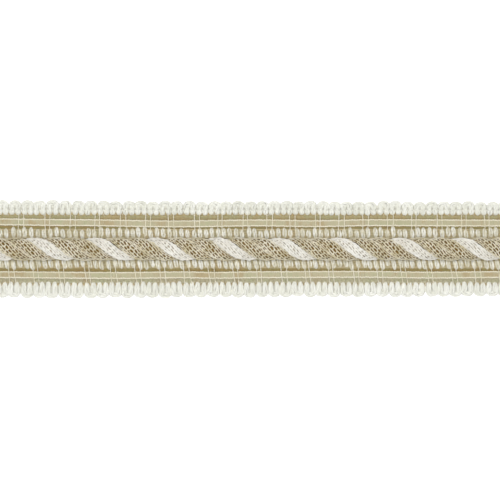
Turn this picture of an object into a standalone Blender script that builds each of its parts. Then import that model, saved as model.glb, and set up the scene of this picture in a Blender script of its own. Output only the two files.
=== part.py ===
"""Furnishing braid: a cut length of flat woven trimming, face up.

A ribbed ground band with scalloped edges carries a narrow ribbon in each of its two channels and a
cord of three plies, twisted together, along its middle. X runs along the braid, Y across it and Z
out of its face. The origin is the centre of the flat back.
"""

import math

import bmesh
import bpy

MM = 0.001

# Driving dimensions of the whole braid, in millimetres
LENGTH = 208.0
HALF_WIDTH = 19.35
CLEARANCE = 0.3
CREASE_ANGLE = math.radians(60)

# Ribbed ground band
POINTS_PER_PICK = 3
PICKS_PER_SCALLOP = 2
SCALLOP_DEPTH = 1.0
CHANNEL_OUTER_Y = 13.5
CHANNEL_INNER_Y = 8.2
CHANNEL_FLOOR_Z = 0.9
CORD_BED_Y = 4.5
CORD_BED_Z = 1.0

# Ribbons
RIBBON_WIDTH = 3.0
RIBBON_THICKNESS = 0.9
RIBBON_BEAD_HEIGHT = 0.25
RIBBON_BEAD_CREST = 0.3
RIBBON_BEAD_WIDTH = 0.7
RIBBON_STATIONS = 32

# Cord of three plies
CORD_PITCH = 23.86
CORD_PLIES = 3
PLY_CENTRE_RADIUS = 2.84
PLY_HALF_THICKNESS = 1.9
PLY_HALF_WIDTH = 3.3
PLY_SIDES = 9
PLY_STEPS_PER_TURN = 13
PLY_GAP = 0.4
CORD_FLATTENING = 0.8
WHITE_PLY_FRONT_X = 18.0

# Cross-section of the ground band from the middle outwards: how far out each row of points lies,
# and its height on a rib and between two ribs
GROUND_ROWS = (
    # y, rib_z, valley_z
    (CORD_BED_Y, CORD_BED_Z, CORD_BED_Z),
    (5.0, 1.75, 1.15),
    (7.7, 2.1, 1.3),
    (CHANNEL_INNER_Y, CHANNEL_FLOOR_Z, CHANNEL_FLOOR_Z),
    (CHANNEL_OUTER_Y, CHANNEL_FLOOR_Z, CHANNEL_FLOOR_Z),
    (14.1, 2.2, 1.5),
    (15.7, 2.0, 1.35),
    (17.2, 2.3, 1.5),
    (HALF_WIDTH, 1.1, 0.8),
)

# Where the picks of weft lie: they are a little more open near the left end
PICK_LINE = (
    # picks from the left end, x
    (0, -LENGTH / 2),
    (5, -91.9),
    (23, -46.9),
    (43, 1.2),
    (63, 48.7),
    (73, 72.8),
    (86, LENGTH / 2),
)
PICKS = PICK_LINE[-1][0]

# How far out the scallops' tips reach on each edge
UPPER_EDGE_LINE = (
    # x, y
    (-LENGTH / 2, HALF_WIDTH),
    (-50.0, 18.85),
    (LENGTH / 2, 18.75),
)
LOWER_EDGE_LINE = (
    # x, y
    (-LENGTH / 2, -HALF_WIDTH),
    (-20.0, -19.2),
    (30.0, -18.85),
    (LENGTH / 2, -18.75),
)

# How each ribbon's centre line wanders in its channel
UPPER_RIBBON_LINE = (
    # x, y
    (-LENGTH / 2, 10.75),
    (-70.0, 10.42),
    (-28.0, 9.9),
    (6.0, 10.28),
    (26.0, 9.98),
    (50.0, 10.38),
    (LENGTH / 2, 10.2),
)
LOWER_RIBBON_LINE = (
    # x, y
    (-LENGTH / 2, -10.1),
    (-52.0, -10.45),
    (-24.0, -10.2),
    (-13.0, -10.4),
    (6.0, -10.12),
    (45.0, -10.0),
    (73.0, -10.3),
    (LENGTH / 2, -10.05),
)

# Linear colour and roughness of each yarn
IVORY_YARN = ((0.78, 0.78, 0.70), 0.85)
BEIGE_RIBBON = ((0.52, 0.47, 0.33), 0.6)
WHITE_CHAINETTE = ((0.86, 0.84, 0.79), 0.85)
BEIGE_CHAINETTE = ((0.50, 0.44, 0.32), 0.85)


def clear_scene():
    """Removes whatever objects the opened file holds."""
    for old in list(bpy.data.objects):
        bpy.data.objects.remove(old)


def yarn_material(name, look):
    """A matt yarn with the given colour and roughness."""
    colour, roughness = look
    material = bpy.data.materials.new(name)
    material.use_nodes = True
    shader = material.node_tree.nodes["Principled BSDF"]
    shader.inputs["Base Color"].default_value = (*colour, 1.0)
    shader.inputs["Roughness"].default_value = roughness
    shader.inputs["Metallic"].default_value = 0.0
    material.diffuse_color = (*colour, 1.0)
    return material


def add_object(name, bm, material, collection):
    """Turns a finished bmesh in millimetres into a named object in metres."""
    bmesh.ops.scale(bm, vec=(MM, MM, MM), verts=bm.verts)
    bmesh.ops.recalc_face_normals(bm, faces=bm.faces)
    mesh = bpy.data.meshes.new(name)
    bm.to_mesh(mesh)
    bm.free()
    mesh.shade_smooth()
    mesh.set_sharp_from_angle(angle=CREASE_ANGLE)
    mesh.materials.append(material)
    made = bpy.data.objects.new(name, mesh)
    collection.objects.link(made)
    return made


def slab(columns, rows, back_z, face_point):
    """A woven band: a grid whose points face_point(column, row) places, over a flat back."""
    bm = bmesh.new()
    bmesh.ops.create_grid(bm, x_segments=columns - 1, y_segments=rows - 1, size=1.0)
    for vert in bm.verts:
        column = round((vert.co.x + 1.0) / 2.0 * (columns - 1))
        row = round((vert.co.y + 1.0) / 2.0 * (rows - 1))
        vert.co = face_point(column, row)
    made = bmesh.ops.extrude_face_region(bm, geom=list(bm.faces))
    for vert in made["geom"]:
        if isinstance(vert, bmesh.types.BMVert):
            vert.co.z = back_z
    back_faces = [f for f in made["geom"] if isinstance(f, bmesh.types.BMFace)]
    bmesh.ops.dissolve_faces(bm, faces=back_faces, use_verts=False)
    return bm


def line_at(line, x):
    """Where a wandering line lies at x, eased between its named stations."""
    for (x0, y0), (x1, y1) in zip(line, line[1:]):
        if x <= x1:
            share = (x - x0) / (x1 - x0)
            return y0 + (y1 - y0) * share * share * (3.0 - 2.0 * share)
    return line[-1][1]


def pick_x(picks):
    """Where along the braid a number of picks from the left end lies."""
    for (count0, x0), (count1, x1) in zip(PICK_LINE, PICK_LINE[1:]):
        if picks <= count1:
            return x0 + (x1 - x0) * (picks - count0) / (count1 - count0)
    return PICK_LINE[-1][1]


def scallop(picks):
    """How far the edge draws in between two rounded lobes of weft, from 0 at a lobe's tip."""
    from_tip = 2.0 * (picks / PICKS_PER_SCALLOP % 1.0) - 1.0
    return SCALLOP_DEPTH * (1.0 - math.sqrt(1.0 - from_tip * from_tip))


def ground_point(column, row):
    """One point of the ribbed ground band's face."""
    picks = column / POINTS_PER_PICK
    x = pick_x(picks)
    upper = row >= len(GROUND_ROWS)
    index = row - len(GROUND_ROWS) if upper else len(GROUND_ROWS) - 1 - row
    out, rib_z, valley_z = GROUND_ROWS[index]
    on_rib = column % POINTS_PER_PICK != 0
    y = out if upper else -out
    if index == len(GROUND_ROWS) - 1:
        edge = line_at(UPPER_EDGE_LINE if upper else LOWER_EDGE_LINE, x)
        y = edge - math.copysign(scallop(picks), edge)
    return (x, y, rib_z if on_rib else valley_z)


def ground_band(collection):
    """The woven ground with its ribs of weft and its two channels."""
    columns = POINTS_PER_PICK * PICKS + 1
    bm = slab(columns, 2 * len(GROUND_ROWS), 0.0, ground_point)
    return add_object("ground_band", bm, yarn_material("ivory_weft_yarn", IVORY_YARN), collection)


def ribbon(name, line, collection):
    """A narrow woven ribbon with a bead along each selvage, loose in its channel."""
    half = RIBBON_WIDTH / 2
    back_z = CHANNEL_FLOOR_Z + CLEARANCE
    face_z = back_z + RIBBON_THICKNESS
    section = (
        # y, z
        (-half, face_z - RIBBON_BEAD_HEIGHT),
        (-half + RIBBON_BEAD_CREST, face_z + RIBBON_BEAD_HEIGHT),
        (-half + RIBBON_BEAD_WIDTH, face_z),
        (half - RIBBON_BEAD_WIDTH, face_z),
        (half - RIBBON_BEAD_CREST, face_z + RIBBON_BEAD_HEIGHT),
        (half, face_z - RIBBON_BEAD_HEIGHT),
    )

    def point(column, row):
        x = -LENGTH / 2 + LENGTH * column / (RIBBON_STATIONS - 1)
        y, z = section[row]
        return (x, line_at(line, x) + y, z)

    bm = slab(RIBBON_STATIONS, len(section), back_z, point)
    return add_object(name, bm, yarn_material(name + "_weave", BEIGE_RIBBON), collection)


def cord_ply(name, ply, look, collection):
    """One ply of the twisted cord: an oval section that turns about the cord's middle.

    The oval is pressed flat where it meets the plies beside it, which keeps them apart.
    """
    sector = math.tan(math.pi / CORD_PLIES)
    turns = LENGTH / CORD_PITCH
    steps = round(turns * PLY_STEPS_PER_TURN)
    front = math.pi / 2 + 2 * math.pi * (-LENGTH / 2 - WHITE_PLY_FRONT_X) / CORD_PITCH
    start = front + 2 * math.pi * ply / CORD_PLIES
    bm = bmesh.new()
    rim = []
    for side in range(PLY_SIDES):
        turn = 2 * math.pi * side / PLY_SIDES
        out = PLY_CENTRE_RADIUS + PLY_HALF_THICKNESS * math.cos(turn)
        room = out * sector - PLY_GAP
        across = max(-room, min(room, PLY_HALF_WIDTH * math.sin(turn)))
        y = out * math.cos(start) - across * math.sin(start)
        z = out * math.sin(start) + across * math.cos(start)
        rim.append(bm.verts.new((-LENGTH / 2, y, z)))
    cap = bm.faces.new(rim)
    bmesh.ops.spin(
        bm,
        geom=[cap],
        cent=(0.0, 0.0, 0.0),
        axis=(1.0, 0.0, 0.0),
        dvec=(LENGTH / steps, 0.0, 0.0),
        angle=2 * math.pi * turns,
        steps=steps,
    )
    half_height = (PLY_CENTRE_RADIUS + PLY_HALF_THICKNESS) * CORD_FLATTENING
    middle_z = CORD_BED_Z + CLEARANCE + half_height
    for vert in bm.verts:
        vert.co.z = middle_z + vert.co.z * CORD_FLATTENING
    return add_object(name, bm, yarn_material(name + "_chainette", look), collection)


def main():
    clear_scene()
    braid = bpy.data.collections.new("furnishing_braid")
    bpy.context.scene.collection.children.link(braid)
    ground_band(braid)
    ribbon("ribbon_upper", UPPER_RIBBON_LINE, braid)
    ribbon("ribbon_lower", LOWER_RIBBON_LINE, braid)
    cord_ply("cord_ply_white", 0, WHITE_CHAINETTE, braid)
    cord_ply("cord_ply_beige_a", 1, BEIGE_CHAINETTE, braid)
    cord_ply("cord_ply_beige_b", 2, BEIGE_CHAINETTE, braid)


main()
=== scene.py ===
"""Looks of the furnishing braid: its yarns, knitted cord, laid ribbons, light and camera.

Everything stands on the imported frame, in metres. X runs along the braid, Y across it and Z out of
its face. Sizes below are in millimetres and are multiplied by MM where geometry is made.
"""

import math
import random

import bmesh
import bpy
import numpy as np
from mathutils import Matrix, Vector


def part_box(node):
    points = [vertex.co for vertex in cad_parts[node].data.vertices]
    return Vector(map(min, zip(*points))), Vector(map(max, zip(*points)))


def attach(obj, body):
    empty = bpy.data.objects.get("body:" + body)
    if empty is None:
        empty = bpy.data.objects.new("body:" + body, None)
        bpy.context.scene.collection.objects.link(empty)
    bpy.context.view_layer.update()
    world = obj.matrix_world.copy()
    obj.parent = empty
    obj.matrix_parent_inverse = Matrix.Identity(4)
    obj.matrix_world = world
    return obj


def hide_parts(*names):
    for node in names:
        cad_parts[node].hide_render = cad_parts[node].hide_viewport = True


MM = 0.001
TAU = 2 * math.pi
SEED = 11

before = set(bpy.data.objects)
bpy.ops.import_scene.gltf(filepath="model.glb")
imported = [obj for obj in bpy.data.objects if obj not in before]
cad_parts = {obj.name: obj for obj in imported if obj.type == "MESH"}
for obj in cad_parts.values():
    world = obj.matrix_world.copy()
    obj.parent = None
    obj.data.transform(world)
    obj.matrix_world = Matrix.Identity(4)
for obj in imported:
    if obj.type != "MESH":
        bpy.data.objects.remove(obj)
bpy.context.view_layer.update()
HALF_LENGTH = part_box("ground_band")[1][0] / MM

# Where the picks of weft lie: they are a little more open near the left end
PICK_LINE = (
    # picks from the left end, x
    (0, -HALF_LENGTH),
    (5, -91.9),
    (23, -46.9),
    (43, 1.2),
    (63, 48.7),
    (73, 72.8),
    (86, HALF_LENGTH),
)
PICKS = PICK_LINE[-1][0]
PICK_PITCH = 2.4
PICKS_PER_SCALLOP = 2

# How far out the scallops' tips reach on each edge
UPPER_EDGE_LINE = (
    # x, y
    (-HALF_LENGTH, 19.35),
    (-50.0, 18.85),
    (HALF_LENGTH, 18.75),
)
LOWER_EDGE_LINE = (
    # x, y
    (-HALF_LENGTH, 19.35),
    (-20.0, 19.2),
    (30.0, 18.85),
    (HALF_LENGTH, 18.75),
)

# How each ribbon's centre line wanders in its channel
UPPER_RIBBON_LINE = (
    # x, y
    (-HALF_LENGTH, 10.75),
    (-70.0, 10.42),
    (-28.0, 9.9),
    (6.0, 10.28),
    (26.0, 9.98),
    (50.0, 10.38),
    (HALF_LENGTH, 10.2),
)
LOWER_RIBBON_LINE = (
    # x, y
    (-HALF_LENGTH, -10.1),
    (-52.0, -10.45),
    (-24.0, -10.2),
    (-13.0, -10.4),
    (6.0, -10.12),
    (45.0, -10.0),
    (73.0, -10.3),
    (HALF_LENGTH, -10.05),
)

# Half of the braid's cross-section, from the cord's bed out to the edge, as the ground cloth lies
# under its ribs
GROUND_ROWS = (
    # y, z
    (0.0, 0.95),
    (4.5, 0.95),
    (7.7, 1.05),
    (8.2, 0.7),
    (13.0, 0.7),
    (13.8, 1.1),
    (16.6, 1.1),
)
GROUND_EDGE_Z = 0.75
GROUND_RIPPLE = 0.12
BACK_RIB_DEPTH = 0.3

# How far the outermost fibres of a hairpin stand out from its own line
EDGE_LOOP_REACH = 1.05

# One half of a hairpin of weft in a border, from the channel out to the leg's last straight point:
# out is counted from the hairpin's root
UPPER_HAIRPIN_LEG = (
    # out, half_spacing, z, thinning
    (0.0, 1.2, 0.45, 0.8),
    (0.25, 1.2, 0.95, 0.4),
    (0.8, 1.22, 1.4, 0.05),
    (1.6, 1.2, 1.45, 0.0),
    (2.35, 1.2, 1.15, 0.42),
    (3.0, 1.24, 1.42, 0.05),
    (4.0, 1.36, 1.38, 0.0),
)
LOWER_HAIRPIN_LEG = (
    # out, half_spacing, z, thinning
    (0.0, 1.2, 0.45, 0.8),
    (0.3, 1.2, 1.0, 0.4),
    (1.1, 1.16, 1.3, 0.2),
    (2.0, 1.2, 1.45, 0.0),
    (3.2, 1.26, 1.5, 0.0),
    (4.5, 1.36, 1.38, 0.0),
)
HAIRPIN_TIP_Z = 1.05

# The two borders: the drift is how far the hairpins lie from the middle between two picks, as the
# weft drifts in the loom
BORDERS = (
    # name, side, leg, root_y, tip_out, edge_line, drift, lean
    ("upper_border", 1, UPPER_HAIRPIN_LEG, 13.5, 4.7, UPPER_EDGE_LINE, 0.25, 0.0),
    ("lower_border", -1, LOWER_HAIRPIN_LEG, 13.0, 5.2, LOWER_EDGE_LINE, -0.15, 0.15),
)

# One rib of weft between a channel and the cord
INNER_RIB = (
    # y, lean, z, thinning
    (8.2, 0.25, 0.75, 0.75),
    (7.85, 0.2, 1.25, 0.4),
    (7.3, 0.12, 1.6, 0.1),
    (6.5, 0.0, 1.75, 0.0),
    (5.6, -0.12, 1.7, 0.05),
    (4.9, -0.2, 1.5, 0.25),
    (4.3, -0.25, 1.1, 0.6),
)

# The two rows of inner ribs, with the ribs' shift towards the cord and their slant
RIB_ROWS = (
    # name, side, inward, slant, drift
    ("upper_inner_ribs", 1, 0.0, 0.8, 0.6),
    ("lower_inner_ribs", -1, 0.4, 1.7, 1.0),
)

# Where warp yarns show across the braid: the darker ones in the channels, and paler ones under the
# ribs beside the cord and along the lower border
WARP_BANDS = (
    # name, yarn, floor, sway, where each yarn lies across
    (
        "channel_warps", "olive_spun_warp", 0.9, 0.12,
        (13.4, 12.85, 12.3, 11.75, 3.7, 3.0, 2.2, -2.2, -3.0, -3.7),
    ),
    ("lower_edge_warps", "beige_ribbon_viscose", 1.15, 0.1, (-11.7, -12.2, -12.7, -13.2)),
    # Painted shade: dark brown warps along the ribbons' inner edges stand for the shadow between ribbon
    # and inner ribs
    ("brown_warps", "brown_spun_warp", 1.0, 0.12, (8.85, 8.4, -7.95, -8.4, -8.85)),
    (
        "rib_bed_warps", "tan_spun_warp", 1.45, 0.1,
        (7.75, 7.1, 6.45, 5.8, 5.1, 4.4, -4.2, -4.9, -5.55, -6.2, -6.85, -7.4),
    ),
)

# The two ribbons
RIBBONS = (
    # side, line, solid it stands for
    ("upper", UPPER_RIBBON_LINE, "ribbon_upper"),
    ("lower", LOWER_RIBBON_LINE, "ribbon_lower"),
)
RIBBON_PICK_PITCH = 0.42
RIBBON_TOP_Z = 1.95
RIBBON_HALF_WIDTH = 1.2
RIBBON_STATIONS = 105
SELVAGE_WAVE_LENGTH = 1.05

# Cord of three plies, as the solids have it
CORD_PITCH = 23.86
CORD_PLIES = 3
PLY_CENTRE_RADIUS = 2.84
PLY_HALF_THICKNESS = 1.9
CORD_FLATTENING = 0.8
CORD_BOTTOM_Z = 1.3
WHITE_PLY_FRONT_X = 18.0

# Knit of the plies
WALES_ROUND = 7
COURSE_PITCH = 1.8
LOOP_HEIGHT = 1.3
LOOP_BULGE = 0.6
LOOP_DEPTH = 0.2
POINTS_PER_STITCH = 16
THREADS_PER_LOOP = 2

# The plies: their own half width, the wales of knitting that can be seen, counted from the middle of
# the face, and the half thickness of a loop's threads together
PLIES = (
    # name, solid, slot, knit, inside, ply, half_width, shown, thread
    (
        "white_ply", "cord_ply_white", "white_chainette", "white_knitted_viscose",
        "grey_inside_of_chainette", 0, 2.5, (-2.5, 2.5), 0.42,
    ),
    (
        "beige_ply_a", "cord_ply_beige_a", "beige_chainette", "beige_knitted_viscose",
        "brown_inside_of_chainette", 1, 2.8, (-2.5, 2), 0.27,
    ),
    (
        "beige_ply_b", "cord_ply_beige_b", "beige_chainette", "beige_knitted_viscose",
        "brown_inside_of_chainette", 2, 2.8, (-2.5, 2), 0.27,
    ),
)

# Ridges of the strands inside a ply
CORE_SIDES = 36
CORE_RIDGES = 9
CORE_RIDGE_HEIGHT = 0.13

# Binder threads over the ribbons
BINDER_PICKS = 4
UPPER_BINDER_START = 2.2
LOWER_BINDER_START = 0.6
BINDER_HALF_SPACING = 1.0

# A streak of fibres in the floats of weft on the back
FLOAT_WIDTH = 0.25
FLOAT_LENGTH = 9.0

# Yarns. The sizes are those of a patch of shade and of a streak of fibres. A real fibre is about
# 0.015 mm thick, too fine to show, so streaks are drawn as coarse as they need to show.
YARNS = (
    # name, patch_mm, fibre_mm, roughness, sheen, bump, strand_share, shades and their places
    # Weft of the borders: bleached viscose roving, hardly twisted, which looks chalky white with long
    # soft fibres and a faint silky sheen
    (
        "ivory_viscose_roving", 4.0, 0.4, 0.8, 0.2, 1.0, 0.3,
        ((0.3, "#e8e8dc"), (0.5, "#efefe5"), (0.7, "#f5f5ee")),
    ),
    # Single fibres of that roving, worked loose: white hairs with no relief of their own
    ("loose_ivory_fibre", 4.0, 0.4, 1.0, 0.0, 0.0, 0.3, ((0.4, "#f6f6ee"), (0.6, "#fbfbf6"))),
    # Warp of the channels: dyed spun viscose, matt, whose shade drifts between tan and olive
    (
        "olive_spun_warp", 5.0, 0.3, 0.85, 0.1, 0.5, 0.3,
        ((0.35, "#b7a172"), (0.5, "#bfb085"), (0.65, "#b6b087")),
    ),
    # The same spun warp beside the ribbons, coloured darker as painted shade: dull brown lines that stand
    # for the shadow in the gap between each ribbon and the inner ribs
    (
        "brown_spun_warp", 4.0, 0.3, 0.85, 0.1, 0.5, 0.3,
        ((0.35, "#a28a57"), (0.5, "#a99665"), (0.65, "#a29864")),
    ),
    # Weft of the inner ribs: the roving drawn thin over tan warp, so it looks cream in blotches
    (
        "ivory_viscose_over_tan", 1.8, 0.4, 0.8, 0.2, 1.0, 0.3,
        ((0.36, "#d9d3b9"), (0.5, "#ebe8d8"), (0.62, "#f6f5ec")),
    ),
    # The spun warp under the inner ribs, dyed light tan
    (
        "tan_spun_warp", 4.0, 0.3, 0.85, 0.1, 0.5, 0.3,
        ((0.35, "#c0ad82"), (0.5, "#c9bb96"), (0.65, "#c2bb98")),
    ),
    # Picks of the ribbons: viscose filament woven flat, smoother than spun yarn, from pinkish to
    # greenish beige along the ribbon
    (
        "beige_ribbon_viscose", 6.0, 0.3, 0.6, 0.1, 0.3, 0.12,
        ((0.35, "#bbac89"), (0.5, "#c3bc9f"), (0.65, "#bdbb9a")),
    ),
    # Selvages and binders: two-ply sewing thread, tight, smooth and cream
    ("pale_cream_sewing_thread", 5.0, 0.3, 0.7, 0.1, 0.3, 0.3, ((0.4, "#e4dec6"), (0.6, "#eee9d8"))),
    # White ply: chainette knitted from bleached viscose, bright, with a soft sheen on each loop
    ("white_knitted_viscose", 5.0, 0.3, 0.75, 0.2, 0.4, 0.3, ((0.4, "#f5f1e6"), (0.6, "#fcfaf2"))),
    # Beige plies: the same chainette in a dyed yarn, cream where it stands out and tan elsewhere
    (
        "beige_knitted_viscose", 3.0, 0.3, 0.7, 0.2, 0.4, 0.3,
        ((0.35, "#d8cda9"), (0.5, "#e9e0c5"), (0.65, "#f6f0dd")),
    ),
    # Loose strands inside the beige plies, painted matt brown in blotches as the shade in the holes of the
    # knitting
    (
        "brown_inside_of_chainette", 2.2, 0.3, 0.95, 0.0, 0.2, 0.3,
        ((0.38, "#6c5529"), (0.5, "#87703f"), (0.62, "#a38f5b")),
    ),
    # Loose strands inside the white ply, painted a matt pale grey as the shade in the holes of the
    # knitting, only a little darker than the knitting
    ("grey_inside_of_chainette", 3.0, 0.3, 0.95, 0.0, 0.2, 0.3, ((0.4, "#b3ab98"), (0.6, "#d0cab9"))),
)


def linear(hex_colour):
    """The linear colour of an sRGB hex value."""
    channels = [int(hex_colour[i : i + 2], 16) / 255 for i in (1, 3, 5)]
    return [c / 12.92 if c <= 0.04045 else ((c + 0.055) / 1.055) ** 2.4 for c in channels] + [1.0]


def add_node(tree, kind, inputs=None, **settings):
    """Adds a node, sets its properties, and fills inputs, by name or number, with values or sockets."""
    made = tree.nodes.new(kind)
    for key, value in settings.items():
        setattr(made, key, value)
    for key, value in (inputs or {}).items():
        if isinstance(value, bpy.types.NodeSocket):
            tree.links.new(value, made.inputs[key])
        else:
            made.inputs[key].default_value = value
    return made


def line_at(line, x):
    """Where a wandering line lies at x, eased between its named stations."""
    for (x0, y0), (x1, y1) in zip(line, line[1:]):
        if x <= x1:
            share = (x - x0) / (x1 - x0)
            return y0 + (y1 - y0) * share * share * (3.0 - 2.0 * share)
    return line[-1][1]


def pick_x(picks):
    """Where along the braid a number of picks from the left end lies."""
    for (count0, x0), (count1, x1) in zip(PICK_LINE, PICK_LINE[1:]):
        if picks <= count1:
            return x0 + (x1 - x0) * (picks - count0) / (count1 - count0)
    return PICK_LINE[-1][1]


def pick_spread(picks):
    """How open the picks lie there, with 1 for the usual pitch."""
    return (pick_x(picks + 0.5) - pick_x(picks - 0.5)) / PICK_PITCH


def smooth_line(rows, steps):
    """Points of a smooth curve through a table's rows, with steps between two rows."""
    rows = np.array(rows, float)
    padded = np.vstack([2 * rows[0] - rows[1], rows, 2 * rows[-1] - rows[-2]])
    points = []
    for p0, p1, p2, p3 in zip(padded, padded[1:], padded[2:], padded[3:]):
        for step in range(steps):
            t = step / steps
            points.append(
                0.5
                * (
                    2 * p1
                    + (p2 - p0) * t
                    + (2 * p0 - 5 * p1 + 4 * p2 - p3) * t**2
                    + (3 * p1 - p0 - 3 * p2 + p3) * t**3
                )
            )
    points.append(rows[-1])
    return np.array(points)


def polylines(name, lines, attributes=None):
    """An object of loose edges, one polyline for each list of points in millimetres."""
    mesh = bpy.data.meshes.new(name)
    points = np.vstack(lines)
    edges = []
    first = 0
    for line in lines:
        edges += [(first + i, first + i + 1) for i in range(len(line) - 1)]
        first += len(line)
    mesh.from_pydata((points * MM).tolist(), edges, [])
    for key, values in (attributes or {}).items():
        stored = mesh.attributes.new(key, "FLOAT", "POINT")
        stored.data.foreach_set("value", np.array(values, np.float32))
    made = bpy.data.objects.new(name, mesh)
    bpy.context.scene.collection.objects.link(made)
    return made


def grown(name, tree, source, values):
    """The plain mesh object that a node tree makes from a source object, which it replaces."""
    modifier = source.modifiers.new(tree.name, "NODES")
    modifier.node_group = tree
    for item in tree.interface.items_tree:
        if item.item_type == "SOCKET" and item.in_out == "INPUT" and item.name in values:
            modifier[item.identifier] = values[item.name]
    graph = bpy.context.evaluated_depsgraph_get()
    mesh = bpy.data.meshes.new_from_object(source.evaluated_get(graph))
    mesh.name = name
    source.modifiers.clear()
    bpy.data.objects.remove(source)
    made = bpy.data.objects.new(name, mesh)
    bpy.context.scene.collection.objects.link(made)
    return made


def cut_ends(piece):
    """Cuts a piece square at both ends of the braid and closes each cut thread."""
    bm = bmesh.new()
    bm.from_mesh(piece.data)
    for side in (-1, 1):
        cut = bmesh.ops.bisect_plane(
            bm,
            geom=bm.verts[:] + bm.edges[:] + bm.faces[:],
            plane_co=(side * HALF_LENGTH * MM, 0, 0),
            plane_no=(side, 0, 0),
            clear_outer=True,
        )
        rim = [e for e in cut["geom_cut"] if isinstance(e, bmesh.types.BMEdge)]
        for cap in bmesh.ops.holes_fill(bm, edges=rim, sides=0)["faces"]:
            cap.smooth = False
            cap.normal_update()
            if cap.normal.x * side < 0:
                cap.normal_flip()
    bm.to_mesh(piece.data)
    bm.free()
    return piece


YARN_INPUTS = (
    # name, socket, usual value
    ("Strands", "NodeSocketInt", 1),
    ("Strand radius", "NodeSocketFloat", 0.3 * MM),
    ("Half width", "NodeSocketFloat", 0.0),
    ("Half height", "NodeSocketFloat", 0.0),
    ("Twist length", "NodeSocketFloat", 10 * MM),
    ("Point spacing", "NodeSocketFloat", 0.6 * MM),
    ("Wander", "NodeSocketFloat", 0.0),
    ("Wander length", "NodeSocketFloat", 3 * MM),
    ("Sides", "NodeSocketInt", 5),
    ("Seed", "NodeSocketInt", SEED),
    ("Material", "NodeSocketMaterial", None),
)


def new_tree(name, inputs):
    """A geometry node tree with a Geometry input, the named inputs and a Geometry output."""
    tree = bpy.data.node_groups.new(name, "GeometryNodeTree")
    tree.interface.new_socket(name="Geometry", in_out="INPUT", socket_type="NodeSocketGeometry")
    for label, kind, usual in inputs:
        socket = tree.interface.new_socket(name=label, in_out="INPUT", socket_type=kind)
        if usual is not None:
            socket.default_value = usual
    tree.interface.new_socket(name="Geometry", in_out="OUTPUT", socket_type="NodeSocketGeometry")
    return tree, tree.nodes.new("NodeGroupInput").outputs


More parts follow.
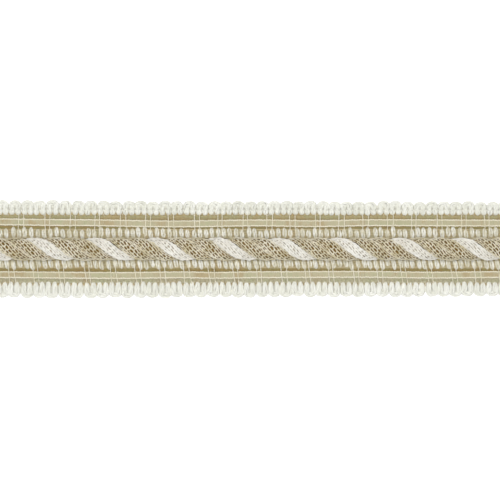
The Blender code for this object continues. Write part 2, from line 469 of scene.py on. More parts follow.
def yarn_tree():
    """Turns guide lines into yarn: strands that twist round each guide in a flat or round section."""
    tree, given = new_tree("plied_yarn", YARN_INPUTS)
    guides = add_node(tree, "GeometryNodeMeshToCurve", {"Mesh": given["Geometry"]})
    even = add_node(
        tree,
        "GeometryNodeResampleCurve",
        {"Curve": guides.outputs[0], "Length": given["Point spacing"]},
        mode="LENGTH",
    )
    level = add_node(tree, "GeometryNodeSetCurveNormal", {"Curve": even.outputs[0]}, mode="Z_UP")
    index = add_node(tree, "GeometryNodeInputIndex")
    start = add_node(
        tree,
        "FunctionNodeRandomValue",
        {2: 0.0, 3: 1.0, "ID": index.outputs[0], "Seed": given["Seed"]},
    )
    marked = add_node(
        tree,
        "GeometryNodeStoreNamedAttribute",
        {"Geometry": level.outputs[0], "Name": "start", "Value": start.outputs[1]},
        domain="CURVE",
    )
    strands = add_node(
        tree,
        "GeometryNodeDuplicateElements",
        {"Geometry": marked.outputs[0], "Amount": given["Strands"]},
        domain="SPLINE",
    )
    length = add_node(tree, "GeometryNodeSplineParameter").outputs["Length"]
    own_start = add_node(tree, "GeometryNodeInputNamedAttribute", {"Name": "start"})
    share = add_node(
        tree, "ShaderNodeMath", {0: strands.outputs[1], 1: given["Strands"]}, operation="DIVIDE"
    )
    twist = add_node(
        tree, "ShaderNodeMath", {0: length, 1: given["Twist length"]}, operation="DIVIDE"
    )
    turns = add_node(tree, "ShaderNodeMath", {0: share.outputs[0], 1: twist.outputs[0]})
    turns = add_node(tree, "ShaderNodeMath", {0: turns.outputs[0], 1: own_start.outputs[0]})
    angle = add_node(tree, "ShaderNodeMath", {0: turns.outputs[0], 1: TAU}, operation="MULTIPLY")
    tangent = add_node(tree, "GeometryNodeInputTangent")
    normal = add_node(tree, "GeometryNodeInputNormal")
    rising = add_node(
        tree,
        "ShaderNodeVectorMath",
        {0: tangent.outputs[0], 1: normal.outputs[0]},
        operation="CROSS_PRODUCT",
    )
    thinning = add_node(tree, "GeometryNodeInputNamedAttribute", {"Name": "thinning"})
    girth = add_node(tree, "ShaderNodeMath", {0: 1.0, 1: thinning.outputs[0]}, operation="SUBTRACT")
    shift = None
    for axis, wave, reach in (
        (normal.outputs[0], "COSINE", given["Half width"]),
        (rising.outputs[0], "SINE", given["Half height"]),
    ):
        swing = add_node(tree, "ShaderNodeMath", {0: angle.outputs[0]}, operation=wave)
        amount = add_node(
            tree, "ShaderNodeMath", {0: swing.outputs[0], 1: reach}, operation="MULTIPLY"
        )
        amount = add_node(
            tree, "ShaderNodeMath", {0: amount.outputs[0], 1: girth.outputs[0]}, operation="MULTIPLY"
        )
        part = add_node(
            tree, "ShaderNodeVectorMath", {0: axis, "Scale": amount.outputs[0]}, operation="SCALE"
        )
        if shift is None:
            shift = part
        else:
            shift = add_node(tree, "ShaderNodeVectorMath", {0: shift.outputs[0], 1: part.outputs[0]})
    place = add_node(tree, "GeometryNodeInputPosition")
    lane = add_node(tree, "ShaderNodeMath", {0: strands.outputs[1], 1: 0.37}, operation="MULTIPLY")
    scale = add_node(
        tree, "ShaderNodeMath", {0: 1.0, 1: given["Wander length"]}, operation="DIVIDE"
    )
    noise = add_node(
        tree,
        "ShaderNodeTexNoise",
        {"Vector": place.outputs[0], "W": lane.outputs[0], "Scale": scale.outputs[0], "Detail": 1.0},
        noise_dimensions="4D",
    )
    centred = add_node(
        tree, "ShaderNodeVectorMath", {0: noise.outputs["Color"], 1: (0.5, 0.5, 0.5)}, operation="SUBTRACT"
    )
    wander = add_node(
        tree,
        "ShaderNodeVectorMath",
        {0: centred.outputs[0], "Scale": given["Wander"]},
        operation="SCALE",
    )
    shift = add_node(tree, "ShaderNodeVectorMath", {0: shift.outputs[0], 1: wander.outputs[0]})
    laid = add_node(
        tree,
        "GeometryNodeSetPosition",
        {"Geometry": strands.outputs[0], "Offset": shift.outputs[0]},
    )
    along = add_node(
        tree,
        "GeometryNodeStoreNamedAttribute",
        {"Geometry": laid.outputs[0], "Name": "along", "Value": length},
    )
    own = add_node(
        tree,
        "FunctionNodeRandomValue",
        {2: 0.0, 3: 1.0, "ID": index.outputs[0], "Seed": given["Seed"]},
    )
    own = add_node(
        tree,
        "GeometryNodeStoreNamedAttribute",
        {"Geometry": along.outputs[0], "Name": "strand", "Value": own.outputs[1]},
        domain="CURVE",
    )
    circle = add_node(
        tree,
        "GeometryNodeCurvePrimitiveCircle",
        {"Resolution": given["Sides"], "Radius": given["Strand radius"]},
    )
    around = add_node(tree, "GeometryNodeSplineParameter").outputs["Factor"]
    section = add_node(
        tree,
        "GeometryNodeStoreNamedAttribute",
        {"Geometry": circle.outputs[0], "Name": "around", "Value": around},
    )
    thickness = add_node(tree, "ShaderNodeMath", {0: girth.outputs[0], 1: 0.5}, operation="POWER")
    tube = add_node(
        tree,
        "GeometryNodeCurveToMesh",
        {
            "Curve": own.outputs[0],
            "Profile Curve": section.outputs[0],
            "Scale": thickness.outputs[0],
            "Fill Caps": True,
        },
    )
    finish_tree(tree, tube.outputs[0], given["Material"])
    return tree


def finish_tree(tree, geometry, material):
    """Ends a tree: instances made real, smooth shading and the material."""
    real = add_node(tree, "GeometryNodeRealizeInstances", {"Geometry": geometry})
    smooth = add_node(tree, "GeometryNodeSetShadeSmooth", {"Geometry": real.outputs[0]})
    dressed = add_node(
        tree,
        "GeometryNodeSetMaterial",
        {"Geometry": smooth.outputs[0], "Material": material},
    )
    add_node(tree, "NodeGroupOutput", {0: dressed.outputs[0]})


def repeat_tree(yarn):
    """Lays one pattern line at each station, a little shaken, and turns it into yarn."""
    own_inputs = (
        ("Pattern", "NodeSocketObject", None),
        ("Shake", "NodeSocketFloat", 0.1 * MM),
        ("Turn", "NodeSocketFloat", 0.05),
        ("Swell", "NodeSocketFloat", 0.04),
    )
    tree, given = new_tree("repeated_yarn", own_inputs + YARN_INPUTS)
    pattern = add_node(tree, "GeometryNodeObjectInfo", {"Object": given["Pattern"]})
    index = add_node(tree, "GeometryNodeInputIndex")
    drawn = {}
    for label, salt in (("shift", 1), ("turn", 2), ("swell", 3)):
        seed = add_node(tree, "ShaderNodeMath", {0: given["Seed"], 1: float(salt)})
        draw = add_node(
            tree,
            "FunctionNodeRandomValue",
            {0: (-1, -1, -1), 1: (1, 1, 1), "ID": index.outputs[0], "Seed": seed.outputs[0]},
            data_type="FLOAT_VECTOR",
        )
        drawn[label] = draw.outputs[0]
    shift = add_node(
        tree, "ShaderNodeVectorMath", {0: drawn["shift"], "Scale": given["Shake"]}, operation="SCALE"
    )
    moved = add_node(
        tree, "GeometryNodeSetPosition", {"Geometry": given["Geometry"], "Offset": shift.outputs[0]}
    )
    turn = add_node(
        tree, "ShaderNodeVectorMath", {0: drawn["turn"], "Scale": given["Turn"]}, operation="SCALE"
    )
    turn = add_node(
        tree, "ShaderNodeVectorMath", {0: turn.outputs[0], 1: (0.0, 0.0, 1.0)}, operation="MULTIPLY"
    )
    swell = add_node(
        tree, "ShaderNodeVectorMath", {0: drawn["swell"], "Scale": given["Swell"]}, operation="SCALE"
    )
    spread = add_node(tree, "GeometryNodeInputNamedAttribute", {"Name": "spread"})
    reach = add_node(tree, "GeometryNodeInputNamedAttribute", {"Name": "reach"})
    size = add_node(
        tree, "ShaderNodeCombineXYZ", {0: spread.outputs[0], 1: reach.outputs[0], 2: 1.0}
    )
    size = add_node(tree, "ShaderNodeVectorMath", {0: size.outputs[0], 1: swell.outputs[0]})
    facing = add_node(tree, "FunctionNodeEulerToRotation", {0: turn.outputs[0]})
    laid = add_node(
        tree,
        "GeometryNodeInstanceOnPoints",
        {
            "Points": moved.outputs[0],
            "Instance": pattern.outputs["Geometry"],
            "Rotation": facing.outputs[0],
            "Scale": size.outputs[0],
        },
    )
    real = add_node(tree, "GeometryNodeRealizeInstances", {"Geometry": laid.outputs[0]})
    spun = add_node(tree, "GeometryNodeGroup", node_tree=yarn)
    tree.links.new(real.outputs[0], spun.inputs["Geometry"])
    for label, _, _ in YARN_INPUTS:
        tree.links.new(given[label], spun.inputs[label])
    finish_tree(tree, spun.outputs[0], given["Material"])
    return tree


def new_material(name, roughness, specular):
    """An empty material with its node tree and its Principled shader."""
    material = bpy.data.materials.new(name)
    material.use_nodes = True
    shader = material.node_tree.nodes["Principled BSDF"]
    shader.inputs["Roughness"].default_value = roughness
    shader.inputs["Specular IOR Level"].default_value = specular
    return material, material.node_tree, shader


def yarn_material(name, patch_mm, fibre_mm, roughness, sheen, bump, strand_share, shades):
    """A yarn: fibres run along it, and its shade drifts in patches and from strand to strand."""
    streak_stretch = 0.12
    streaks_round = 9.0
    strand_step = 50.0
    material, tree, shader = new_material(name, roughness, 0.25)
    shader.inputs["Sheen Weight"].default_value = sheen
    shader.inputs["Sheen Roughness"].default_value = 0.5
    along = add_node(tree, "ShaderNodeAttribute", attribute_name="along").outputs["Fac"]
    around = add_node(tree, "ShaderNodeAttribute", attribute_name="around").outputs["Fac"]
    strand = add_node(tree, "ShaderNodeAttribute", attribute_name="strand").outputs["Fac"]
    place = add_node(tree, "ShaderNodeTexCoord").outputs["Object"]
    patches = add_node(
        tree,
        "ShaderNodeTexNoise",
        {"Vector": place, "Scale": 1 / (patch_mm * MM), "Detail": 2.0, "Roughness": 0.6},
    )
    shade = add_node(
        tree,
        "ShaderNodeMix",
        {"Factor": strand_share, "A": patches.outputs["Fac"], "B": strand},
        data_type="FLOAT",
    )
    ramp = add_node(tree, "ShaderNodeValToRGB", {"Fac": shade.outputs[0]})
    stops = ramp.color_ramp.elements
    while len(stops) < len(shades):
        stops.new(0.5)
    for stop, (position, colour) in zip(stops, shades):
        stop.position = position
        stop.color = linear(colour)
    tree.links.new(ramp.outputs["Color"], shader.inputs["Base Color"])
    lengthwise = add_node(
        tree, "ShaderNodeMath", {0: along, 1: streak_stretch / (fibre_mm * MM)}, operation="MULTIPLY"
    )
    crosswise = add_node(tree, "ShaderNodeMath", {0: around, 1: streaks_round}, operation="MULTIPLY")
    lane = add_node(tree, "ShaderNodeMath", {0: strand, 1: strand_step}, operation="MULTIPLY")
    grain = add_node(
        tree,
        "ShaderNodeCombineXYZ",
        {0: lengthwise.outputs[0], 1: crosswise.outputs[0], 2: lane.outputs[0]},
    )
    fibres = add_node(
        tree, "ShaderNodeTexNoise", {"Vector": grain.outputs[0], "Scale": 1.0, "Detail": 2.0}
    )
    # A square-cut end of the yarn, which faces along the braid, shows no streaks
    facing = add_node(tree, "ShaderNodeNewGeometry").outputs["True Normal"]
    lengthways = add_node(tree, "ShaderNodeSeparateXYZ", {0: facing}).outputs["X"]
    cut_face = add_node(tree, "ShaderNodeMath", {0: lengthways}, operation="ABSOLUTE")
    uncut = add_node(
        tree, "ShaderNodeMath", {0: cut_face.outputs[0], 1: 0.999}, operation="LESS_THAN"
    )
    depth = add_node(tree, "ShaderNodeMath", {0: uncut.outputs[0], 1: bump}, operation="MULTIPLY")
    relief = add_node(
        tree,
        "ShaderNodeBump",
        {"Height": fibres.outputs["Fac"], "Strength": depth.outputs[0], "Distance": 0.1 * MM},
    )
    tree.links.new(relief.outputs["Normal"], shader.inputs["Normal"])
    return material


def dress(piece, slot, *nodes):
    """Lets a piece ride on the braid and stand for the named solids. The slot is not used."""
    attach(piece, "root")
    if nodes:
        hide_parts(*nodes)
    return piece


def hairpin(leg, tip_out, lean):
    """The line of one hairpin of weft: out along one leg, round its tip and back along the other."""
    tip_steps = 6
    last_out, last_half, last_z, _ = leg[-1]
    side = smooth_line(leg, 2)
    tip = []
    for step in range(1, tip_steps):
        turn = math.pi * step / tip_steps
        rise = math.sin(turn) ** 0.8
        tip.append(
            (
                last_half * math.copysign(abs(math.cos(turn)) ** 0.8, math.cos(turn)),
                last_out + (tip_out - last_out) * rise,
                last_z + (HAIRPIN_TIP_Z - last_z) * rise,
                0.0,
            )
        )
    out = [(half, way, z, thinning) for way, half, z, thinning in side]
    back = [(-half, way, z, thinning) for way, half, z, thinning in side[::-1]]
    line = np.array(out + tip + back)
    line[:, 0] += lean * line[:, 1] / tip_out
    return line


def repeated(name, repeat, line, thinning, stations, spreads, reaches, values):
    """Yarn along copies of one line, one at each station, stretched along and across the braid."""
    pattern = polylines(name + "_pattern", [line], {"thinning": thinning})
    stretch = {"spread": spreads, "reach": reaches}
    source = polylines(name + "_stations", [np.array(stations)], stretch)
    made = grown(name, repeat, source, {"Pattern": pattern, **values})
    bpy.data.objects.remove(pattern)
    return made


def border(repeat, material, name, side, leg, root_y, tip_out, edge_line, drift, lean):
    """The row of weft hairpins along one edge."""
    line = hairpin(leg, tip_out, lean)
    line[:, 1] *= side
    stations = []
    spreads = []
    reaches = []
    for lobe in range(PICKS // PICKS_PER_SCALLOP):
        picks = PICKS_PER_SCALLOP * lobe + PICKS_PER_SCALLOP / 2
        x = pick_x(picks)
        stations.append((x + drift, side * root_y, 0.0))
        spreads.append(pick_spread(picks))
        reaches.append((line_at(edge_line, x) - EDGE_LOOP_REACH - root_y) / tip_out)
    values = {
        "Shake": 0.12 * MM,
        "Turn": 0.06,
        "Swell": 0.04,
        "Strands": 9,
        "Strand radius": 0.3 * MM,
        "Half width": 0.86 * MM,
        "Half height": 0.5 * MM,
        "Twist length": 16 * MM,
        "Point spacing": 0.52 * MM,
        "Wander": 0.5 * MM,
        "Wander length": 1.6 * MM,
        "Sides": 4,
        "Seed": SEED,
        "Material": material,
    }
    made = repeated(name, repeat, line[:, :3], line[:, 3], stations, spreads, reaches, values)
    return cut_ends(made)


def inner_ribs(repeat, material, name, side, inward, slant, drift):
    """The short ribs of weft between a channel and the cord."""
    rows = smooth_line(INNER_RIB, 2)
    line = np.column_stack([-side * slant * rows[:, 1], (rows[:, 0] - inward) * side, rows[:, 2]])
    stations = []
    spreads = []
    for pick in range(PICKS):
        picks = pick + 0.5
        stations.append((pick_x(picks) + drift, 0.0, 0.0))
        spreads.append(pick_spread(picks))
    values = {
        "Shake": 0.2 * MM,
        "Turn": 0.03,
        "Swell": 0.08,
        "Strands": 6,
        "Strand radius": 0.25 * MM,
        "Half width": 0.7 * MM,
        "Half height": 0.36 * MM,
        "Twist length": 11 * MM,
        "Point spacing": 0.5 * MM,
        "Wander": 0.3 * MM,
        "Wander length": 1.2 * MM,
        "Seed": SEED + 1,
        "Material": material,
    }
    made = repeated(name, repeat, line, rows[:, 3], stations, spreads, [1.0] * PICKS, values)
    return cut_ends(made)


def warps(yarn, material, name, floor, sway, rows):
    """Warp yarns that show between the picks, each waving up and down as it crosses them."""
    lines = []
    for row, y in enumerate(rows):
        picks = np.arange(-1, PICKS + 1.01, 0.25)
        x = np.array([pick_x(p) + (p - min(max(p, 0), PICKS)) * PICK_PITCH for p in picks])
        wave = sway * np.cos(math.pi * (picks + row))
        lines.append(np.column_stack([x, np.full(len(x), y), floor + wave]))
    values = {
        "Strands": 2,
        "Strand radius": 0.2 * MM,
        "Half width": 0.15 * MM,
        "Half height": 0.1 * MM,
        "Twist length": 3.2 * MM,
        "Point spacing": 0.8 * MM,
        "Sides": 3,
        "Wander": 0.4 * MM,
        "Wander length": 3 * MM,
        "Material": material,
    }
    return cut_ends(grown(name, yarn, polylines(name + "_guides", lines), values))


def ribbon_weave(repeat, material, name, line):
    """One narrow ribbon: its picks lie side by side across it over a thin body."""
    half = RIBBON_HALF_WIDTH
    shoulder_z = RIBBON_TOP_Z - 0.08
    edge_z = 1.5
    rows = (
        # y, z
        (-half, edge_z),
        (-0.75 * half, shoulder_z),
        (0.0, RIBBON_TOP_Z),
        (0.75 * half, shoulder_z),
        (half, edge_z),
    )
    points = smooth_line(rows, 2)
    count = int(2 * HALF_LENGTH / RIBBON_PICK_PITCH)
    stations = []
    for pick in range(count):
        x = -HALF_LENGTH + (pick + 0.5) * RIBBON_PICK_PITCH
        stations.append((x, line_at(line, x), 0.0))
    values = {
        "Shake": 0.035 * MM,
        "Turn": 0.03,
        "Swell": 0.02,
        "Strand radius": 0.25 * MM,
        "Point spacing": 0.5 * MM,
        "Sides": 4,
        "Seed": SEED + 2,
        "Material": material,
    }
    pick_line = np.column_stack([points[:, 0] * 0, points])
    even = [1.0] * count
    return repeated(name, repeat, pick_line, [0.0] * len(points), stations, even, even, values)


def ribbon_body(name, line, material):
    """The flat body of a ribbon under its picks."""
    section = (
        # y, z
        (-1.28, 1.22),
        (1.28, 1.22),
        (1.2, 1.85),
        (-1.2, 1.85),
    )
    bm = bmesh.new()
    rings = []
    for x in np.linspace(-HALF_LENGTH, HALF_LENGTH, RIBBON_STATIONS):
        middle = line_at(line, x)
        ring = [bm.verts.new((x * MM, (middle + y) * MM, z * MM)) for y, z in section]
        rings.append(ring)
    for ring, after in zip(rings, rings[1:]):
        for i in range(4):
            j = (i + 1) % 4
            bm.faces.new((ring[i], ring[j], after[j], after[i]))
    bm.faces.new(rings[0])
    bm.faces.new(rings[-1][::-1])
    return mesh_piece(name, bm, material)


def mesh_piece(name, bm, material):
    """Turns a finished bmesh in metres into an object with its sharp edges kept."""
    bmesh.ops.recalc_face_normals(bm, faces=bm.faces)
    mesh = bpy.data.meshes.new(name)
    bm.to_mesh(mesh)
    bm.free()
    mesh.shade_smooth()
    mesh.set_sharp_from_angle(angle=math.radians(50))
    mesh.materials.append(material)
    made = bpy.data.objects.new(name, mesh)
    bpy.context.scene.collection.objects.link(made)
    return made


def ribbon_selvages(name, yarn, line, material):
    """The two pale, wavy edge threads of a ribbon."""
    draw = random.Random(SEED + 3)
    lines = []
    for side in (-1, 1):
        x = np.arange(-HALF_LENGTH - 1, HALF_LENGTH + 1, 0.25)
        phase = draw.uniform(0, TAU)
        middle = np.array([line_at(line, min(max(v, -HALF_LENGTH), HALF_LENGTH)) for v in x])
        wave = 0.13 * np.sin(x * TAU / SELVAGE_WAVE_LENGTH + phase) + 0.05 * np.sin(x * TAU / 3.7)
        y = middle + side * (1.12 + wave)
        z = 2.0 + 0.08 * np.cos(x * TAU / SELVAGE_WAVE_LENGTH + phase)
        lines.append(np.column_stack([x, y, z]))
    source = polylines(name + "_guides", lines)
    made = grown(
        name,
        yarn,
        source,
        {
            "Strands": 2,
            "Strand radius": 0.2 * MM,
            "Half width": 0.13 * MM,
            "Half height": 0.12 * MM,
            "Twist length": 1.7 * MM,
            "Point spacing": 0.3 * MM,
            "Sides": 4,
            "Wander": 0.06 * MM,
            "Wander length": 1.0 * MM,
            "Seed": SEED + 4,
            "Material": material,
        },
    )
    return cut_ends(made)


def binder_threads(yarn, material):
    """Pairs of fine threads that hold the ribbons down, from border to cord."""
    draw = random.Random(SEED + 5)
    route = (
        # y, z
        (13.9, 1.3),
        (13.3, 2.0),
        (12.6, 1.9),
        (11.9, 2.15),
        (11.3, 2.4),
        (10.2, 2.42),
        (9.1, 2.4),
        (8.4, 2.1),
        (7.7, 2.05),
        (6.5, 2.2),
        (5.2, 2.0),
        (4.5, 1.6),
    )
    lines = []
    for side, start, lean in ((1, UPPER_BINDER_START, 0.0), (-1, LOWER_BINDER_START, 0.5)):
        picks = start
        while picks < PICKS:
            centre = pick_x(picks) + draw.uniform(-0.35, 0.35)
            half = BINDER_HALF_SPACING * draw.uniform(0.8, 1.15)
            for thread in (-1, 1):
                slant = lean + draw.uniform(-0.25, 0.25)
                bend = draw.uniform(-0.15, 0.15)
                rows = []
                for y, z in route:
                    share = (y - 10.0) / 4.0
                    x = centre + thread * half - side * slant * share + bend * share**2
                    rows.append((x, side * y, z))
                lines.append(smooth_line(rows, 2))
            picks += BINDER_PICKS
    source = polylines("binder_guides", lines)
    return grown(
        "binder_threads",
        yarn,
        source,
        {
            "Strands": 2,
            "Strand radius": 0.13 * MM,
            "Half width": 0.09 * MM,
            "Half height": 0.09 * MM,
            "Twist length": 1.3 * MM,
            "Point spacing": 0.45 * MM,
            "Sides": 4,
            "Wander": 0.05 * MM,
            "Wander length": 2.0 * MM,
            "Seed": SEED + 6,
            "Material": material,
        },
    )


def stray_fibres(yarn, material):
    """Fine hairs that stand off the soft weft of the borders, drawn thicker than real to show."""
    draw = random.Random(SEED + 20)
    lines = []
    zones = (
        # nearest_y, farthest_y, top_z, count
        (13.9, 18.0, 2.15, 600),
        (12.9, 13.9, 1.6, 500),
        (16.9, 18.2, 1.6, 350),
    )
    for side in (-1, 1):
        for near, far, height, count in zones:
            for _ in range(count):
                x = draw.uniform(-HALF_LENGTH + 1.5, HALF_LENGTH - 1.5)
                y = side * draw.uniform(near, far)
                z = height + draw.uniform(-0.3, 0.05)
                heading = side * math.pi / 2 + draw.gauss(0, 0.45)
                bend = draw.uniform(-1.4, 1.4)
                step = draw.uniform(0.14, 0.32)
                points = []
                for i in range(5):
                    lift = 0.12 * math.sin(math.pi * i / 4)
                    points.append((x, y, z + lift))
                    x += step * math.cos(heading)
                    y += step * math.sin(heading)
                    heading += bend * step
                lines.append(np.array(points))
    source = polylines("fibre_guides", lines)
    return grown(
        "stray_fibres",
        yarn,
        source,
        {"Strand radius": 0.03 * MM, "Point spacing": 0.35 * MM, "Sides": 3, "Material": material},
    )


def knit_tree(yarn):
    """Repeats one course of knitting along a strip and turns it into yarn."""
    own_inputs = (
        ("Courses", "NodeSocketInt", 10),
        ("Course pitch", "NodeSocketFloat", COURSE_PITCH * MM),
        ("Unevenness", "NodeSocketFloat", 0.2 * MM),
        ("Uneven length", "NodeSocketFloat", 3 * MM),
    )
    tree, given = new_tree("knitted_strip", own_inputs + YARN_INPUTS)
    step = add_node(tree, "ShaderNodeCombineXYZ", {0: given["Course pitch"]})
    rows = add_node(
        tree, "GeometryNodeMeshLine", {"Count": given["Courses"], "Offset": step.outputs[0]}
    )
    laid = add_node(
        tree,
        "GeometryNodeInstanceOnPoints",
        {"Points": rows.outputs[0], "Instance": given["Geometry"]},
    )
    real = add_node(tree, "GeometryNodeRealizeInstances", {"Geometry": laid.outputs[0]})
    place = add_node(tree, "GeometryNodeInputPosition")
    scale = add_node(
        tree, "ShaderNodeMath", {0: 1.0, 1: given["Uneven length"]}, operation="DIVIDE"
    )
    noise = add_node(
        tree,
        "ShaderNodeTexNoise",
        {"Vector": place.outputs[0], "W": given["Seed"], "Scale": scale.outputs[0], "Detail": 1.0},
        noise_dimensions="4D",
    )
    centred = add_node(
        tree, "ShaderNodeVectorMath", {0: noise.outputs["Color"], 1: (0.5, 0.5, 0.5)}, operation="SUBTRACT"
    )
    pull = add_node(
        tree,
        "ShaderNodeVectorMath",
        {0: centred.outputs[0], "Scale": given["Unevenness"]},
        operation="SCALE",
    )
    uneven = add_node(
        tree, "GeometryNodeSetPosition", {"Geometry": real.outputs[0], "Offset": pull.outputs[0]}
    )
    spun = add_node(tree, "GeometryNodeGroup", node_tree=yarn)
    tree.links.new(uneven.outputs[0], spun.inputs["Geometry"])
    for label, _, _ in YARN_INPUTS:
        tree.links.new(given[label], spun.inputs[label])
    finish_tree(tree, spun.outputs[0], given["Material"])
    return tree


def wrap_on_ply(mesh, ply, half_width, angle_scale):
    """Bends a flat strip, with x along, y round and z out, round one twisted ply of the cord."""
    flat = np.empty(len(mesh.vertices) * 3, np.float32)
    mesh.vertices.foreach_get("co", flat)
    flat = flat.reshape(-1, 3).astype(float) / MM
    twist = math.atan(TAU * PLY_CENTRE_RADIUS / CORD_PITCH)
    path = flat[:, 0]
    turn = flat[:, 1] / angle_scale
    lift = flat[:, 2]
    x = path * math.cos(twist)
    front = math.pi / 2 - TAU * WHITE_PLY_FRONT_X / CORD_PITCH + TAU * ply / CORD_PLIES
    outward = (PLY_HALF_THICKNESS + lift) * np.cos(turn)
    sideways = (half_width + lift) * np.sin(turn)
    x = x - sideways * math.sin(twist)
    sideways = sideways * math.cos(twist)
    theta = front + TAU * (path * math.cos(twist)) / CORD_PITCH
    y = (PLY_CENTRE_RADIUS + outward) * np.cos(theta) - sideways * np.sin(theta)
    z = (PLY_CENTRE_RADIUS + outward) * np.sin(theta) + sideways * np.cos(theta)
    half_height = (PLY_CENTRE_RADIUS + PLY_HALF_THICKNESS) * CORD_FLATTENING
    z = CORD_BOTTOM_Z + half_height + z * CORD_FLATTENING
    mesh.vertices.foreach_set("co", (np.column_stack([x, y, z]) * MM).astype(np.float32).ravel())
    mesh.update()


def course_line(shown, thread):
    """One course of knitting over the wales that show: x along the ply, y as an angle, z out."""
    first, last = shown
    count = round((last - first) * POINTS_PER_STITCH)
    stitch = np.arange(count + 1) / POINTS_PER_STITCH + first
    phase = TAU * stitch
    turn = (stitch + LOOP_BULGE * np.sin(2 * phase) / TAU) * TAU / WALES_ROUND
    along = LOOP_HEIGHT * np.cos(phase)
    out = -LOOP_DEPTH * np.cos(2 * phase) - LOOP_DEPTH - thread
    return np.column_stack([along, turn, out])


def knitted_ply(knit, material, core_material, name, ply, half_width, shown, thread):
    """One chainette ply of the cord: open knitting over the loose strands inside it, whose dark colour is
    painted shade for the holes.
    """
    reach = HALF_LENGTH / math.cos(math.atan(TAU * PLY_CENTRE_RADIUS / CORD_PITCH)) + 4
    courses = int(2 * reach / COURSE_PITCH)
    line = course_line(shown, thread)
    angle_scale = (PLY_HALF_THICKNESS + half_width) / 2
    line[:, 1] *= angle_scale
    line[:, 0] -= reach
    strand_radius = thread / THREADS_PER_LOOP
    source = polylines(name + "_course", [line])
    made = grown(
        name,
        knit,
        source,
        {
            "Courses": courses,
            "Course pitch": COURSE_PITCH * MM,
            "Unevenness": 0.95 * MM,
            "Uneven length": 3.0 * MM,
            "Strands": THREADS_PER_LOOP,
            "Strand radius": strand_radius * MM,
            "Half width": (thread - strand_radius) * MM,
            "Half height": 0.5 * (thread - strand_radius) * MM,
            "Twist length": 5.0 * MM,
            "Point spacing": 0.5 * MM,
            "Sides": 3,
            "Seed": SEED + 7 + ply,
            "Material": material,
        },
    )
    wrap_on_ply(made.data, ply, half_width, angle_scale)
    depth = 2 * LOOP_DEPTH + 1.6 * thread
    core = ply_core(name + "_core", reach, ply, half_width + 0.4, depth, core_material)
    return cut_ends(made), cut_ends(core)


def ply_core(name, reach, ply, half_width, depth, material):
    """The bundle of loose strands inside a ply, which shows through its open knitting as painted shade."""
    rings = int(2 * reach / 1.2)
    bm = bmesh.new()
    bmesh.ops.create_grid(bm, x_segments=rings, y_segments=CORE_SIDES, size=1.0)
    for vert in bm.verts:
        path = vert.co.x * reach
        turn = vert.co.y * math.pi
        ridge = CORE_RIDGE_HEIGHT * (math.cos(CORE_RIDGES * turn + 0.4 * path) - 1.0)
        vert.co = (path * MM, turn * MM, (ridge - depth) * MM)
    mesh = bpy.data.meshes.new(name)
    bm.to_mesh(mesh)
    bm.free()
    wrap_on_ply(mesh, ply, half_width, 1.0)
    bm = bmesh.new()
    bm.from_mesh(mesh)
    bmesh.ops.remove_doubles(bm, verts=bm.verts, dist=0.01 * MM)
    return mesh_piece(name, bm, material)


def cord_heart(yarn, material):
    """The yarns that lie straight along the middle of the cord, inside its three plies."""
    middle = CORD_BOTTOM_Z + (PLY_CENTRE_RADIUS + PLY_HALF_THICKNESS) * CORD_FLATTENING
    guide = np.array([(-HALF_LENGTH - 1, 0.0, middle), (HALF_LENGTH + 1, 0.0, middle)])
    source = polylines("heart_guide", [guide])
    made = grown(
        "cord_heart",
        yarn,
        source,
        {
            "Strands": 4,
            "Strand radius": 0.8 * MM,
            "Half width": 0.7 * MM,
            "Half height": 0.6 * MM,
            "Twist length": 20 * MM,
            "Point spacing": 2.0 * MM,
            "Sides": 7,
            "Material": material,
        },
    )
    return cut_ends(made)


def ground_cloth(material, back_material):
    """The woven ground under the ribs: a thin sheet with shallow ribs on its flat back."""
    per_pick = 6
    columns = per_pick * PICKS + 1
    half_rows = smooth_line(GROUND_ROWS, 2)
    bm = bmesh.new()
    top = []
    back = []
    for column in range(columns):
        picks = column / per_pick
        x = pick_x(picks)
        ripple = 0.5 + 0.5 * math.cos(TAU * picks)
        scallop = abs(2.0 * (picks / PICKS_PER_SCALLOP % 1.0) - 1.0) ** 2
        strip = []
        for side, edge_line in ((-1, LOWER_EDGE_LINE), (1, UPPER_EDGE_LINE)):
            rows = [(y, z - GROUND_RIPPLE * ripple) for y, z in half_rows]
            rows.append((line_at(edge_line, x) - 1.3 - 0.5 * scallop, GROUND_EDGE_Z))
            rows = [(side * y, z) for y, z in rows]
            strip += rows[:0:-1] if side < 0 else rows
        top.append([bm.verts.new((x * MM, y * MM, z * MM)) for y, z in strip])
        depth = BACK_RIB_DEPTH * ripple**2
        back.append([bm.verts.new((x * MM, y * MM, depth * MM)) for y, z in strip])
    last = len(top[0]) - 1
    for c in range(columns - 1):
        for r in range(last):
            bm.faces.new((top[c][r], top[c + 1][r], top[c + 1][r + 1], top[c][r + 1]))
            under = bm.faces.new((back[c][r], back[c][r + 1], back[c + 1][r + 1], back[c + 1][r]))
            under.material_index = 1
        for r in (0, last):
            bm.faces.new((top[c][r], back[c][r], back[c + 1][r], top[c + 1][r]))
    for c in (0, columns - 1):
        for r in range(last):
            bm.faces.new((top[c][r], top[c][r + 1], back[c][r + 1], back[c][r]))
    made = mesh_piece("ground_cloth", bm, material)
    made.data.materials.append(back_material)
    return made


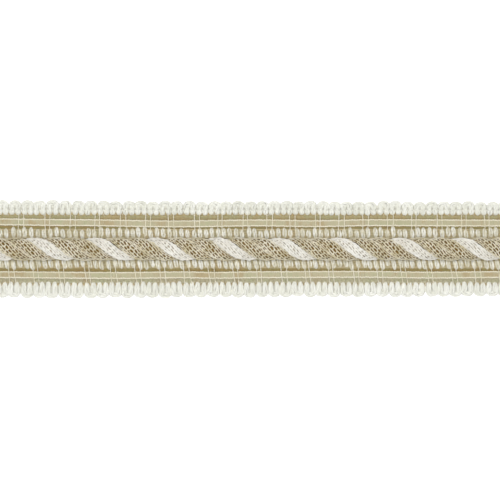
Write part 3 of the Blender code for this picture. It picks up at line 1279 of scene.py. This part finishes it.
def ground_material():
    """Woven viscose under the ribs: matt tan warp in the channels and ivory weft at the borders.

    A painted grey line stands for the shade in the holes where the upper border's hairpins draw in to
    their waists.
    """
    material, tree, shader = new_material("woven_viscose_ground", 0.9, 0.2)
    place = add_node(tree, "ShaderNodeTexCoord").outputs["Object"]
    axes = add_node(tree, "ShaderNodeSeparateXYZ", {0: place})
    out = add_node(tree, "ShaderNodeMath", {0: axes.outputs["Y"]}, operation="ABSOLUTE")
    border_share = add_node(
        tree,
        "ShaderNodeMapRange",
        {"Value": out.outputs[0], "From Min": 14.1 * MM, "From Max": 15.0 * MM},
    )
    patches = add_node(
        tree, "ShaderNodeTexNoise", {"Vector": place, "Scale": 1 / (5 * MM), "Detail": 3.0}
    )
    tan = add_node(
        tree,
        "ShaderNodeMix",
        {"Factor": patches.outputs["Fac"], "A": linear("#a8946a"), "B": linear("#b9ab84")},
        data_type="RGBA",
    )
    colour = add_node(
        tree,
        "ShaderNodeMix",
        {"Factor": border_share.outputs[0], "A": tan.outputs["Result"], "B": linear("#e9e8dd")},
        data_type="RGBA",
    )
    # Painted shade: a grey line along the upper border's waists, where the hairpins draw in
    waist = add_node(
        tree, "ShaderNodeMath", {0: axes.outputs["Y"], 1: 15.9 * MM}, operation="SUBTRACT"
    )
    waist = add_node(tree, "ShaderNodeMath", {0: waist.outputs[0]}, operation="ABSOLUTE")
    painted_waist_shade = add_node(
        tree,
        "ShaderNodeMapRange",
        {
            "Value": waist.outputs[0],
            "From Min": 0.25 * MM,
            "From Max": 0.7 * MM,
            "To Min": 0.45,
            "To Max": 0.0,
        },
    )
    colour = add_node(
        tree,
        "ShaderNodeMix",
        {"Factor": painted_waist_shade.outputs[0], "A": colour.outputs["Result"], "B": linear("#8d887a")},
        data_type="RGBA",
    )
    tree.links.new(colour.outputs["Result"], shader.inputs["Base Color"])
    threads = add_node(
        tree, "ShaderNodeMapping", {"Vector": place, "Scale": (1 / (0.5 * MM), 1 / (1.6 * MM), 1.0)}
    )
    grain = add_node(
        tree, "ShaderNodeTexNoise", {"Vector": threads.outputs[0], "Scale": 1.0, "Detail": 3.0}
    )
    relief = add_node(
        tree,
        "ShaderNodeBump",
        {"Height": grain.outputs["Fac"], "Strength": 0.8, "Distance": 0.15 * MM},
    )
    tree.links.new(relief.outputs["Normal"], shader.inputs["Normal"])
    return material


def back_material():
    """The back: floats of ivory viscose weft, which look like soft streaks across the braid."""
    material, tree, shader = new_material("ivory_weft_floats", 0.9, 0.2)
    place = add_node(tree, "ShaderNodeTexCoord").outputs["Object"]
    streaks = (1 / (FLOAT_WIDTH * MM), 1 / (FLOAT_LENGTH * MM), 1.0)
    stretched = add_node(tree, "ShaderNodeMapping", {"Vector": place, "Scale": streaks})
    fibres = add_node(
        tree, "ShaderNodeTexNoise", {"Vector": stretched.outputs[0], "Scale": 1.0, "Detail": 3.0}
    )
    colour = add_node(
        tree,
        "ShaderNodeMix",
        {"Factor": fibres.outputs["Fac"], "A": linear("#cfc8ae"), "B": linear("#f3f1e6")},
        data_type="RGBA",
    )
    tree.links.new(colour.outputs["Result"], shader.inputs["Base Color"])
    relief = add_node(
        tree,
        "ShaderNodeBump",
        {"Height": fibres.outputs["Fac"], "Strength": 1.0, "Distance": 0.2 * MM},
    )
    tree.links.new(relief.outputs["Normal"], shader.inputs["Normal"])
    return material


def studio():
    """A plain white floor, soft light from the camera's side and the camera straight above."""
    bpy.ops.mesh.primitive_plane_add(size=3.0, location=(0.0, 0.0, -0.05 * MM))
    floor = bpy.context.object
    floor.name = "floor"
    white, _, shader = new_material("matt_white_paper", 1.0, 0.5)
    shader.inputs["Base Color"].default_value = linear("#ffffff")
    shader.inputs["Emission Color"].default_value = linear("#ffffff")
    shader.inputs["Emission Strength"].default_value = 0.25
    floor.data.materials.append(white)

    world = bpy.data.worlds.new("soft_room")
    bpy.context.scene.world = world
    world.use_nodes = True
    background = world.node_tree.nodes["Background"]
    background.inputs["Color"].default_value = linear("#ffffff")
    background.inputs["Strength"].default_value = 0.29

    for name, place, size, power in (
        # name, place, size, watts
        ("key_softbox", (-0.12, 0.06, 0.9), 0.45, 6.0),
        ("fill_softbox", (0.3, -0.08, 0.8), 0.6, 1.9),
    ):
        lamp = bpy.data.lights.new(name, "AREA")
        lamp.shape = "SQUARE"
        lamp.size = size
        lamp.energy = power
        held = bpy.data.objects.new(name, lamp)
        bpy.context.scene.collection.objects.link(held)
        held.location = place
        direction = -held.location
        held.rotation_mode = "QUATERNION"
        held.rotation_quaternion = direction.to_track_quat("-Z", "Y")

    lens = bpy.data.cameras.new("camera")
    lens.lens = 135.0
    lens.sensor_width = 36.0
    view_width = 197.2
    camera = bpy.data.objects.new("camera", lens)
    bpy.context.scene.collection.objects.link(camera)
    distance = view_width * lens.lens / lens.sensor_width
    camera.location = (1.2 * MM, -0.4 * MM, (2.0 + distance) * MM)
    lens.clip_start = 0.01
    lens.clip_end = 10.0
    bpy.context.scene.camera = camera
    bpy.context.scene.view_settings.view_transform = "Standard"


def main():
    studio()
    yarn = yarn_tree()
    repeat = repeat_tree(yarn)
    knit = knit_tree(yarn)
    yarns = {row[0]: yarn_material(*row) for row in YARNS}
    weft = yarns["ivory_viscose_roving"]
    rib_weft = yarns["ivory_viscose_over_tan"]
    beige = yarns["beige_ribbon_viscose"]
    pale = yarns["pale_cream_sewing_thread"]

    cloth = ground_cloth(ground_material(), back_material())
    ground = dress(cloth, "ivory_weft_yarn", "ground_band")
    for row in BORDERS:
        dress(border(repeat, weft, *row), "ivory_weft_yarn")
    for row in RIB_ROWS:
        dress(inner_ribs(repeat, rib_weft, *row), "ivory_weft_yarn")
    for name, colour, *lie in WARP_BANDS:
        dress(warps(yarn, yarns[colour], name, *lie), "ivory_weft_yarn")
    for side, line, solid in RIBBONS:
        weave = ribbon_weave(repeat, beige, side + "_ribbon", line)
        dress(weave, "beige_ribbon", solid)
    for side, line, _ in RIBBONS:
        dress(ribbon_body(side + "_ribbon_body", line, beige), "beige_ribbon")
    for side, line, _ in RIBBONS:
        edges = ribbon_selvages(side + "_selvages", yarn, line, pale)
        dress(edges, "beige_ribbon")
    dress(binder_threads(yarn, pale), "beige_ribbon")
    dress(stray_fibres(yarn, yarns["loose_ivory_fibre"]), "ivory_weft_yarn")
    for name, solid, slot, outside, inside, *lie in PLIES:
        knitting, core = knitted_ply(knit, yarns[outside], yarns[inside], name, *lie)
        dress(knitting, slot, solid)
        dress(core, slot)
    # The heart takes the same brown painted shade as the insides of the beige plies
    heart = cord_heart(yarn, yarns["brown_inside_of_chainette"])
    dress(heart, "beige_chainette")


main()
